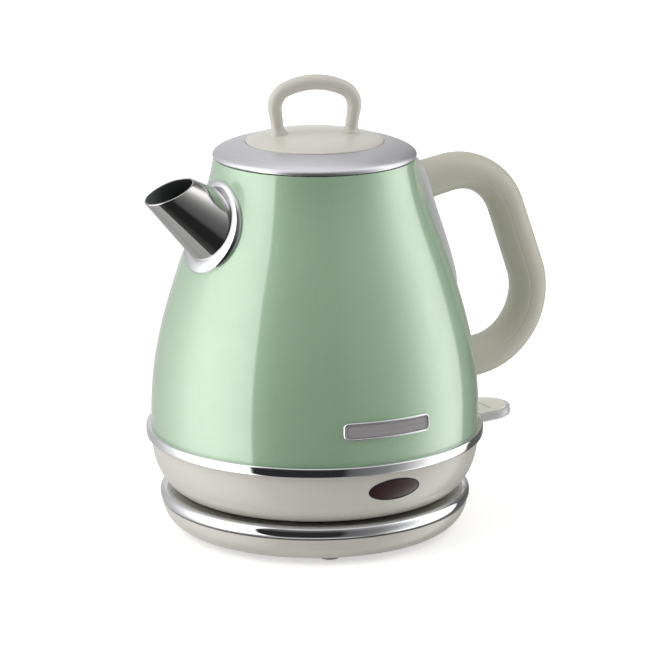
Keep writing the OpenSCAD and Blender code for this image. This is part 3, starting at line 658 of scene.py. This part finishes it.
def trace(start, heading, stretches, step=2.5, bend_step=4.0):
    """Points, headings and runs along stretches of (length, 0) or (radius, degrees clockwise)."""
    x, z = start
    a = math.radians(heading)
    out = [((x, z), a, 0.0)]
    run = 0.0
    for size, bend in stretches:
        if bend == 0:
            n = max(1, round(size / step))
            for _ in range(n):
                x, z, run = x + size / n * math.cos(a), z + size / n * math.sin(a), run + size / n
                out.append(((x, z), a, run))
        else:
            n = max(1, round(bend / bend_step))
            turn = math.radians(bend)
            cx, cz = x + size * math.sin(a), z - size * math.cos(a)
            first = a
            for k in range(1, n + 1):
                a = first - turn * k / n
                x, z = cx - size * math.sin(a), cz + size * math.cos(a)
                out.append(((x, z), a, run + size * turn * k / n))
            run += size * turn
    return out


HANDLE_PATH = trace((44.0, 161.6), 10.0, [(29.7, 0), (31, 80), (34, 0), (32, 102), (24, 0)])
HANDLE_LENGTH = HANDLE_PATH[-1][2]
# Radius of the grip by the distance along its path
GRIP = [(0, 10.4), (26, 9.5), (50, 8.9), (75, 9.1), (110, 9.3), (140, 9.6),
        (HANDLE_LENGTH - 12, 10.1), (HANDLE_LENGTH, 10.3)]
GRIP_WALL, SEAM_AT, NICK_WIDTH, NICK_DEPTH = 2.5, 3.2, 0.10, 0.06
LANDING = 22.0


def grip_section(r, cover):
    """Loop of (towards the bend's inside, along Y) for one moulding of radius r."""
    seam = math.degrees(math.acos(SEAM_AT / r))
    nick = math.degrees(NICK_WIDTH / r)
    start, end, count = (-seam, seam, 20) if cover else (seam, 360 - seam, 44)
    outer = [(r - NICK_DEPTH, start)]
    outer += [(r, start + nick + (end - start - 2 * nick) * k / count) for k in range(count + 1)]
    outer += [(r - NICK_DEPTH, end)]
    inner = [(r - GRIP_WALL, end + (start - end) * k / count) for k in range(count + 1)]
    return [(q * math.cos(math.radians(a)), q * math.sin(math.radians(a)))
            for q, a in outer + inner]


def handle_rows(cover):
    """Rings of one moulding along the grip's path, each with the direction ahead."""
    rows = []
    for (x, z), a, run in HANDLE_PATH:
        ahead = Vector((math.cos(a), 0, math.sin(a)))
        inward = Vector((math.sin(a), 0, -math.cos(a)))
        section = grip_section(table(GRIP, run), cover)
        rows.append(([Vector((x, 0, z)) + u * inward + v * ALONG_Y for u, v in section], ahead))
    return rows


def land_on_jug(rows):
    """Stretches both ends of the grip along its path until they lie on the jug."""
    def landed(p, ahead):
        def outside(s):
            return math.hypot(p.x + ahead.x * s, p.y) > jug_radius(p.z + ahead.z * s)
        return p + ahead * solve(-14.0, 30.0, outside)
    top, low = rows[0], rows[-1]
    first = [landed(p, top[1]) - p for p in top[0]]
    last = [landed(p, -low[1]) - p for p in low[0]]
    out = []
    for (points, _), (_, _, run) in zip(rows, HANDLE_PATH):
        near = (1 - ease(run / LANDING)) * max(0.0, 1 - run / LANDING)
        far = 1 - ease((HANDLE_LENGTH - run) / LANDING)
        out.append([p + a * near + b * far for p, a, b in zip(points, first, last)])
    return out


def build_handle():
    """Two mouldings that meet in a fine seam."""
    for name, node, cover in (("handle_outer", "handle_shell", False),
                              ("handle_inner", "handle_cover", True)):
        piece = lofted(name, land_on_jug(handle_rows(cover)), 38)
        place(piece, "kettle", "handle_plastic", [node])


# ---------------------------------------------------------------- water gauge

GAUGE_LOW, GAUGE_HIGH = 84.0, 177.0
GAUGE_W, GAUGE_W_LOW = 12.5, 8.5
WINDOW_W, WINDOW_LOW, WINDOW_HIGH = 9.6, 95.0, 148.0
GAUGE_THIN, GAUGE_RISE, GAUGE_RUN = 0.9, 5.7, 34.0
FLANGE_W, FLANGE_H, GAUGE_ROUND, GAUGE_SINK = 1.3, 0.6, 1.8, 0.25
# Edge of the flange: share of the half width, height over the jug
FLANGE_EDGE = ((1.0, -GAUGE_SINK), (1.0, 0.35), (0.985, 0.55), (0.96, FLANGE_H))
PANE_SLACK, PANE_SINK, PANE_BACK, PANE_EDGE = 0.06, 0.7, -1.4, 0.25


def gauge_proud(z):
    """How far the gauge stands out from the jug at height z."""
    return GAUGE_THIN + GAUGE_RISE * min(1.0, max(0.0, (z - GAUGE_LOW) / GAUGE_RUN))


def gauge_half_width(z):
    """Half the gauge's width at height z: round at both ends, wider at the top."""
    top, low = GAUGE_HIGH - GAUGE_W, GAUGE_LOW + GAUGE_W_LOW
    if z >= top:
        return math.sqrt(max(0.0, GAUGE_W ** 2 - (z - top) ** 2))
    if z <= low:
        return math.sqrt(max(0.0, GAUGE_W_LOW ** 2 - (low - z) ** 2))
    return GAUGE_W_LOW + (GAUGE_W - GAUGE_W_LOW) * (z - low) / (top - low)


def gauge_heights():
    """Heights of the gauge's rings, closer together at its round ends."""
    top, low = GAUGE_HIGH - GAUGE_W, GAUGE_LOW + GAUGE_W_LOW
    zs = [low - GAUGE_W_LOW * math.cos(math.radians(6 + 84 * k / 10)) for k in range(11)]
    zs += [low + (top - low) * k / 44 for k in range(1, 45)]
    zs += [top + GAUGE_W * math.sin(math.radians(84 * k / 14)) for k in range(1, 15)]
    return zs


def on_jug_side(y, z, out):
    """Point of the +X side of the jug, out from its surface."""
    r = jug_radius(z) + out
    return (math.sqrt(max(0.0, r * r - y * y)), y, z)


def gauge_ring(z):
    """Ring of the gauge at height z: flange, rounded body, flange, and back against the jug."""
    half, top = gauge_half_width(z), gauge_proud(z)
    low = min(FLANGE_H, top)
    left = [(-half * share, out * (low / FLANGE_H if out > 0 else 1)) for share, out in FLANGE_EDGE]
    raised = max(0.0, half - FLANGE_W)
    round_r = min(raised, GAUGE_ROUND)
    for k in range(10):
        a = math.radians(90 * k / 9)
        left.append((-(raised - round_r + round_r * math.cos(a)), low + (top - low) * math.sin(a)))
    right = [(-y, out) for y, out in left[::-1]]
    back = [on_jug_side(half * share, z, -GAUGE_SINK) for share in (0.6, 0.2, -0.2, -0.6)]
    return [on_jug_side(y, z, out) for y, out in left + right] + back


def build_gauge():
    """Frosted strip with a clear window let into it."""
    body = lofted("gauge_body", [gauge_ring(z) for z in gauge_heights()], 45)
    cut(body, box_between("gauge_gap", (20, -WINDOW_W / 2, WINDOW_LOW),
                          (100, WINDOW_W / 2, WINDOW_HIGH)))
    place(body, "kettle", "clear_plastic", ["gauge_frame"], ("frosted_plastic",))
    rows, steps = [], 30
    half, height = WINDOW_W / 2 - PANE_SLACK, WINDOW_HIGH - WINDOW_LOW - 2 * PANE_SLACK
    ys = [-half + 2 * half * i / 12 for i in range(13)]
    for k in range(steps + 1):
        z = WINDOW_LOW + PANE_SLACK + height * k / steps
        out = gauge_proud(z) - PANE_SINK
        rows.append([on_jug_side(y, z, out - PANE_EDGE * (abs(y) / half) ** 6) for y in ys]
                    + [on_jug_side(y, z, PANE_BACK) for y in ys[::-1]])
    return place(lofted("gauge_pane", rows), "kettle", "clear_plastic", ["gauge_window"])


# ---------------------------------------------------------------- badge

BADGE_Z, BADGE_W, BADGE_H, BADGE_CORNER = 67.5, 44.8, 8.5, 2.6
BADGE_TURN = -2.8
# Distance in from the outline, height over the jug
BADGE_EDGE = ((0.0, -0.2), (0.0, 0.7), (0.12, 1.05), (0.35, 1.28), (0.62, 1.3), (0.88, 1.12),
              (1.0, 0.8), (1.0, -0.2))
BADGE_FIELD = ((1.02, -0.15), (1.02, 0.62), (1.12, 0.7), (1.5, 0.7), (1.62, 0.86), (1.86, 0.86),
               (1.98, 0.7), (2.8, 0.7), (3.6, 0.7), (4.2, 0.7))


def rounded_outline(w, h, r):
    """Rounded rectangle with extra points along its straight sides."""
    out = []
    for right, up, start in ((1, 1, 0), (-1, 1, 90), (-1, -1, 180), (1, -1, 270)):
        out += arc(right * (w / 2 - r), up * (h / 2 - r), r, r, start, start + 90, 8)
        x, z = out[-1]
        if start in (0, 180):
            out += [(x - 2 * x * k / 24, z) for k in range(1, 24)]
        else:
            out += [(x, z - 2 * z * k / 6) for k in range(1, 6)]
    return out


def on_jug_front(x, z, out):
    """Point of the -Y side of the jug, out from its surface. z is from the badge's middle."""
    r = jug_radius(BADGE_Z + z) + out
    return (x, -math.sqrt(r * r - x * x), BADGE_Z + z)


def badge_rings(levels):
    """Rounded outlines on the jug, one for each (inset, out)."""
    rings = []
    for inset, out in levels:
        r = min(max(0.3, BADGE_CORNER - inset), BADGE_H / 2 - inset - 0.01)
        outline = rounded_outline(BADGE_W - 2 * inset, BADGE_H - 2 * inset, r)
        rings.append(turned_about_z([on_jug_front(x, z, out) for x, z in outline], BADGE_TURN))
    return rings


def build_badge():
    """Blank badge: bright rounded edge round a recessed grey field with a plain raised line."""
    edge = looped("badge_edge", badge_rings(BADGE_EDGE), 50)
    place(edge, "kettle", "chrome", ["badge_rim"])
    field = lofted("badge_field", badge_rings(BADGE_FIELD), 30)
    return place(field, "kettle", "badge_grey", ["badge_plate"])


# ---------------------------------------------------------------- lid

LID_Z = MOUTH_Z + 0.3
LID_R = MOUTH_R + 0.3
CAP_R = 33.2
CAP_Z = MOUTH_Z + 7.4
CAP_TOP = MOUTH_Z + 11.8
LID_TURN = -20.0
DOME = bezier([(CAP_R, CAP_Z + 0.35), (CAP_R - 1.7, CAP_Z + 2.1), (16.0, CAP_TOP),
               (0.0, CAP_TOP)], 40)
LID_SLOPE = bezier([(LID_R - 0.10, LID_Z + 1.35), (LID_R - 0.75, LID_Z + 3.3),
                    (41.5, CAP_Z - 1.3), (CAP_R + 0.25, CAP_Z)], 28)
LID_SHEET, LID_SKIRT = 0.8, 1.2
LID_EDGE, LID_SHOULDER, CAP_EDGE = 0.55, 0.6, 0.35


def build_lid():
    """Brushed ring, cream domed disc and knob."""
    edge = arc(LID_R - LID_EDGE, LID_Z + 0.6, LID_EDGE, LID_EDGE, -80, 0, 6)
    shoulder = arc(LID_R - LID_SHOULDER, LID_Z + 0.95, LID_SHOULDER, LID_SHOULDER, 0, 30, 4)
    inside = [(r - LID_SHEET * 0.8, z - LID_SHEET) for r, z in LID_SLOPE[::-1]]
    skirt = [(LID_R - LID_SKIRT, LID_Z + 1.6), (LID_R - LID_SKIRT, LID_Z + 0.1)]
    ring = spun("lid_ring", edge + shoulder + LID_SLOPE[1:] + inside + skirt)
    place(ring, "lid", "bare_steel", ["lid_rim"], ("rim_steel",))
    under_r, under_z = CAP_R - 0.5, CAP_Z - 2
    under = [(0.0, under_z), (under_r, under_z), (under_r, CAP_Z - 0.3)]
    brim = arc(CAP_R - CAP_EDGE, CAP_Z + 0.1, CAP_EDGE, 0.4, -90, 20, 5)
    disc = spun("lid_disc", under + brim + DOME[1:], 192)
    place(disc, "lid", "cream_plastic", ["lid_cap"])


KNOB_TOP, KNOB_LEAN, KNOB_HALF_ARCH = 218.3, 98.0, 24.0
KNOB_LIMB, KNOB_CORNER, KNOB_JOIN, KNOB_ARCH = 14.0, 9.5, 0.6, 32.0
# Radius of the bar by the distance from its nearer foot, and the foot's flare
KNOB_BAR = [(0, 2.95), (6, 3.0), (20, 3.55), (34, 3.72)]
KNOB_FLARE, FLARE_FROM, FLARE_LEN = 1.9, 1.2, 5.0


def build_knob():
    """Looped knob: one bar that thickens towards its arch and flares out at its two feet."""
    a, b = math.radians(KNOB_LEAN), math.radians(KNOB_HALF_ARCH)
    rise = (KNOB_ARCH * (1 - math.cos(b)) + KNOB_JOIN * math.sin(b)
            + KNOB_CORNER * (math.cos(b) - math.cos(a)))
    across = (KNOB_ARCH * math.sin(b) + KNOB_JOIN * math.cos(b)
              + KNOB_CORNER * (math.sin(a) - math.sin(b)))
    start = (-across - KNOB_LIMB * math.cos(a), KNOB_TOP - rise - KNOB_LIMB * math.sin(a))
    half = [(KNOB_LIMB, 0), (KNOB_CORNER, KNOB_LEAN - KNOB_HALF_ARCH), (KNOB_JOIN, 0)]
    stretches = half + [(KNOB_ARCH, 2 * KNOB_HALF_ARCH)] + half[::-1]
    path = trace(start, KNOB_LEAN, stretches, 1.0, 5.0)
    rows = []
    for (x, z), heading, run in path:
        above = min(run, path[-1][2] - run)
        flare = KNOB_FLARE * (1 - ease((above - FLARE_FROM) / FLARE_LEN)) ** 2
        side = Vector((math.sin(heading), 0, -math.cos(heading)))
        ring = ring_about(Vector((x, 0, z)), table(KNOB_BAR, above) + flare, side, ALONG_Y, 40)
        rows.append(turned_about_z(ring, LID_TURN))
    return place(lofted("lid_loop", rows, 60), "lid", "cream_plastic", ["lid_knob"])


# ---------------------------------------------------------------- power base

BASE_SIDE = bezier([(66.8, 2.0), (71.0, 4.0), (74.2, 8.0), (74.8, 13.5)], 30)
BASE_WALL, BASE_EDGE = 2.2, 1.0
STEP_R, STEP_IN_R, STEP_Z, STEP_TOP = 72.4, 70.3, 13.5, 18.5
SHELF_Z, COVER_TOP = 11.3, 4.0
LEAD_Z, LEAD_HOLE_R = 8.6, 4.8
RING_R, RING_BEAD, RING_Z, RING_POWER = 72.6, 3.1, 16.6, 2.4
FLANGE_IN_R = 66.0
FEET_AT, FEET_TURNS = 59, (-112, 8, 128)
# Radius and height up the side of a foot
FOOT = ((4.2, 0.0), (4.7, 0.15), (5.0, 0.6), (5.0, 2.8))


def build_base():
    """Cream bowl, chrome ring with its satin inner flange, and three rubber feet."""
    low_r, low_z = BASE_SIDE[0]
    foot = arc(low_r - BASE_EDGE, low_z + BASE_EDGE, BASE_EDGE, BASE_EDGE, 190, 300, 6)
    step = [(STEP_R, STEP_Z), (STEP_R, STEP_TOP), (STEP_IN_R, STEP_TOP), (STEP_IN_R, SHELF_Z)]
    inner = [(r - BASE_WALL, z) for r, z in BASE_SIDE[::-1] if COVER_TOP < z < SHELF_Z]
    bowl = spun("base_bowl", foot + BASE_SIDE[2:] + step + inner + [(64.8, 4.2), (64.6, 3.2)])
    cut(bowl, pipe_between("lead_hole", (60, 0, LEAD_Z), (90, 0, LEAD_Z), LEAD_HOLE_R, 48))
    place(bowl, "base", "cream_plastic", ["base_shell"])
    bead = full_arc(RING_R, RING_Z, RING_BEAD, RING_BEAD, RING_POWER, -89, 96, 40)
    flange = bezier([(71.6, RING_Z + 3.02), (70.2, RING_Z + 2.70), (68.4, RING_Z + 2.75),
                     (FLANGE_IN_R, RING_Z + 3.30)], 10)
    under = [(FLANGE_IN_R, STEP_TOP + 0.06), (STEP_R + 0.05, STEP_TOP + 0.06),
             (STEP_R + 0.05, STEP_Z + 0.02)]
    kinds = [0] * len(bead) + [1] * len(flange) + [0] * len(under)
    ring = spun("base_ring", bead + flange + under, kinds=kinds)
    place(ring, "base", "chrome", ["base_rim"], ("chrome", "tray_edge"))
    points, faces = [], []
    for degrees in FEET_TURNS:
        at, start = math.radians(degrees), len(points)
        cx, cy = FEET_AT * math.cos(at), FEET_AT * math.sin(at)
        rows = [circle(r, z, 40, cx, cy) for r, z in FOOT]
        points += joined(rows)
        faces += lattice(rows, start=start)
        faces += [tuple(range(start, start + 40)), tuple(range(len(points) - 40, len(points)))]
    feet = tidy(make_object("base_feet", points, faces))
    place(feet, "base", "black_rubber", ["rubber_feet"], ("grey_rubber",))


# ---------------------------------------------------------------- switch paddle

PADDLE_W, PADDLE_LEN, PADDLE_T = 28.0, 28.6, 4.8
PADDLE_LOW = -PADDLE_T + 0.6
PADDLE_AT = Matrix.Translation((81, 0, 45.2)) @ Matrix.Rotation(math.radians(-2.5), 4, "Y")
GROOVES, GROOVE_HALF, GROOVE_DEPTH = (8, 14), 8, 0.6
# Distance in from the outline, height from the paddle's face
PADDLE_FACE = ((1.8, PADDLE_LOW), (1.8, -0.7), (1.95, -0.3), (2.25, -0.05), (2.7, 0.0))
PADDLE_RIM = ((1.8, PADDLE_LOW), (1.8, -0.75), (1.55, -0.5), (0.5, -0.55), (0.12, -0.85),
              (0.0, -1.3), (0.0, PADDLE_LOW), (0.12, -PADDLE_T + 0.25), (0.5, -PADDLE_T),
              (4.0, -PADDLE_T), (4.0, PADDLE_LOW))


def paddle_ring(inset, z):
    """Outline of the paddle, inset: square at the kettle, round at the free end."""
    r = PADDLE_W / 2 - inset
    straight = PADDLE_LEN - PADDLE_W / 2
    near = [(straight * k / 8, -r) for k in range(8)]
    points = near + arc(straight, 0, r, r, -90, 90, 32) + [(x, -y) for x, y in near[::-1]]
    points += [(0.0, r - 2 * r * k / 6) for k in range(1, 6)]
    return [PADDLE_AT @ Vector((x, y, z)) for x, y in points]


def build_paddle():
    """Paddle with two grooves and a smoky edge round it; its cream is painted paler than the other
    cream parts, which is painted light against the shade of the jug and handle.
    """
    paddle = lofted("paddle_top", [paddle_ring(*level) for level in PADDLE_FACE])
    cut(paddle, *[box_between("groove", (x, -GROOVE_HALF, -GROOVE_DEPTH),
                              (x + 1, GROOVE_HALF, 0.4), PADDLE_AT) for x in GROOVES])
    place(paddle, "switch", "cream_plastic", ["switch_paddle"], ("paddle_plastic",))
    rim = looped("paddle_rim", [paddle_ring(*level) for level in PADDLE_RIM], 40)
    return place(rim, "switch", "grey_plastic", ["switch_rim"])


# ---------------------------------------------------------------- studio

CAMERA_AT = Vector((-0.7794, -1.4235, 0.5222))
CAMERA_TURN, CAMERA_RISE = math.radians(-28.7), math.radians(16.2)
FOCAL_PIXELS, FRAME_PIXELS, SENSOR_WIDTH = 3461.0, 650.0, 36.0
AIM_RIGHT_PIXELS, AIM_UP_PIXELS = 10.4, 95.2


def build_camera():
    """Long lens, a little above the kettle, from the badge's left."""
    right = Vector((math.cos(CAMERA_TURN), math.sin(CAMERA_TURN), 0))
    back = Vector((math.sin(CAMERA_TURN) * math.cos(CAMERA_RISE),
                   -math.cos(CAMERA_TURN) * math.cos(CAMERA_RISE), math.sin(CAMERA_RISE)))
    up = back.cross(right)
    look = (-back + (AIM_RIGHT_PIXELS / FOCAL_PIXELS) * right
            + (AIM_UP_PIXELS / FOCAL_PIXELS) * up).normalized()
    data = bpy.data.cameras.new("camera")
    data.sensor_width = SENSOR_WIDTH
    data.lens = FOCAL_PIXELS / FRAME_PIXELS * data.sensor_width
    camera = bpy.data.objects.new("camera", data)
    bpy.context.scene.collection.objects.link(camera)
    camera.location = CAMERA_AT
    camera.rotation_mode = "QUATERNION"
    camera.rotation_quaternion = look.to_track_quat("-Z", "Y")
    bpy.context.scene.camera = camera


# Brightness of the studio by direction, in degrees from the side that the camera sees
STUDIO = [(-180, 0.80), (-150, 0.55), (-130, 0.70), (-112, 1.15), (-96, 2.0), (-84, 2.3),
          (-45, 2.3), (-43, 0.03), (19, 0.03), (25, 0.14), (50, 0.26), (62, 0.45), (75, 0.9),
          (88, 1.6), (100, 2.1), (112, 2.0), (124, 1.5), (128, 0.12), (155, 0.14), (170, 0.45),
          (180, 0.80)]
BRIGHTEST = 2.3

# By the height of a direction, from -1 straight down to 1 straight up: how far the surround gives
# way to an even tone, and that tone
EVEN_SHARE = [(-1.0, 1.0), (-0.95, 1.0), (-0.72, 0.0), (0.05, 0.0), (0.40, 0.12), (0.72, 0.16),
              (0.93, 1.0), (1.0, 1.0)]
EVEN_TONE = [(-1.0, 0.75), (-0.97, 0.75), (-0.92, 0.14), (-0.30, 0.14), (0.0, 0.9), (1.0, 1.05)]

FLOOR_REACH, FLOOR_DROP = 6000.0, -0.5
FLOOR_TONE, FLOOR_GLOW = 0.93, 0.42
CARD_TONE, CARD_GLOW = 0.70, 0.16


def ramp_node(tree, value, low, high, stops, top):
    """Grey ramp over low to high. Its stops are divided by top."""
    share = tree.nodes.new("ShaderNodeMapRange")
    share.inputs["From Min"].default_value = low
    share.inputs["From Max"].default_value = high
    tree.links.new(value, share.inputs["Value"])
    ramp = tree.nodes.new("ShaderNodeValToRGB")
    elements = ramp.color_ramp.elements
    while len(elements) < len(stops):
        elements.new(0.5)
    for stop, (at, level) in zip(elements, stops):
        stop.position = (at - stops[0][0]) / (stops[-1][0] - stops[0][0])
        stop.color = [level / top] * 3 + [1]
    tree.links.new(share.outputs["Result"], ramp.inputs["Fac"])
    return ramp.outputs["Color"]


def build_world():
    """Surround: a large soft box on the left, a graded one on the right, a darker room between."""
    world = bpy.data.worlds.new("studio")
    bpy.context.scene.world = world
    world.use_nodes = True
    tree = world.node_tree
    back = tree.nodes["Background"]
    make, link = tree.nodes.new, tree.links.new
    direction = make("ShaderNodeTexCoord")
    split = make("ShaderNodeSeparateXYZ")
    spin = make("ShaderNodeVectorRotate")
    spin.rotation_type = "Z_AXIS"
    spin.inputs["Angle"].default_value = -CAMERA_TURN
    link(direction.outputs["Generated"], spin.inputs["Vector"])
    link(spin.outputs["Vector"], split.inputs[0])
    minus = make("ShaderNodeMath")
    minus.operation = "MULTIPLY"
    minus.inputs[1].default_value = -1.0
    link(split.outputs["Y"], minus.inputs[0])
    turn = make("ShaderNodeMath")
    turn.operation = "ARCTAN2"
    link(split.outputs["X"], turn.inputs[0])
    link(minus.outputs[0], turn.inputs[1])
    around = ramp_node(tree, turn.outputs[0], -math.pi, math.pi, STUDIO, BRIGHTEST)
    share = ramp_node(tree, split.outputs["Z"], -1.0, 1.0, EVEN_SHARE, 1.0)
    tone = ramp_node(tree, split.outputs["Z"], -1.0, 1.0, EVEN_TONE, BRIGHTEST)
    mix = make("ShaderNodeMix")
    mix.data_type = "RGBA"
    link(share, mix.inputs["Factor"])
    link(around, mix.inputs["A"])
    link(tone, mix.inputs["B"])
    link(mix.outputs["Result"], back.inputs["Color"])
    back.inputs["Strength"].default_value = BRIGHTEST


def stage_disc(name, height, tone, glow):
    """Wide matt disc under the kettle that glows a little. Mirror-bright parts do not show it."""
    disc = make_object(name, circle(FLOOR_REACH, height, 96), [tuple(range(96))])
    mat, tree, shader, spot = new_material(name + "_matt")
    tree.links.new(tinted(tree, noise(tree, spot, 3.0), (tone,) * 3, 0.004),
                   shader.inputs["Base Color"])
    shader.inputs["Roughness"].default_value = 0.9
    shader.inputs["Emission Color"].default_value = (1, 1, 1, 1)
    shader.inputs["Emission Strength"].default_value = glow
    disc.data.materials.append(mat)
    disc.visible_glossy = False
    return disc


def build_floor():
    """White floor for the eye, and just below it the darker card that lights the kettle's foot."""
    floor = stage_disc("floor", 0.0, FLOOR_TONE, FLOOR_GLOW)
    floor.visible_diffuse = False
    floor.visible_shadow = False
    card = stage_disc("bounce_card", FLOOR_DROP, CARD_TONE, CARD_GLOW)
    card.visible_camera = False


build_camera()
build_world()
build_floor()
build_jug()
build_band()
build_housing()
build_lens()
build_spout()
build_collar()
build_handle()
build_gauge()
build_badge()
build_lid()
build_knob()
build_base()
build_paddle()

for part in frame["record"]["subparts"]:
    node = frame["nodes"][part["node"]]
    if not node.hide_render:
        dress(node, part["material_slot"])

bpy.context.scene.view_settings.view_transform = "Standard"
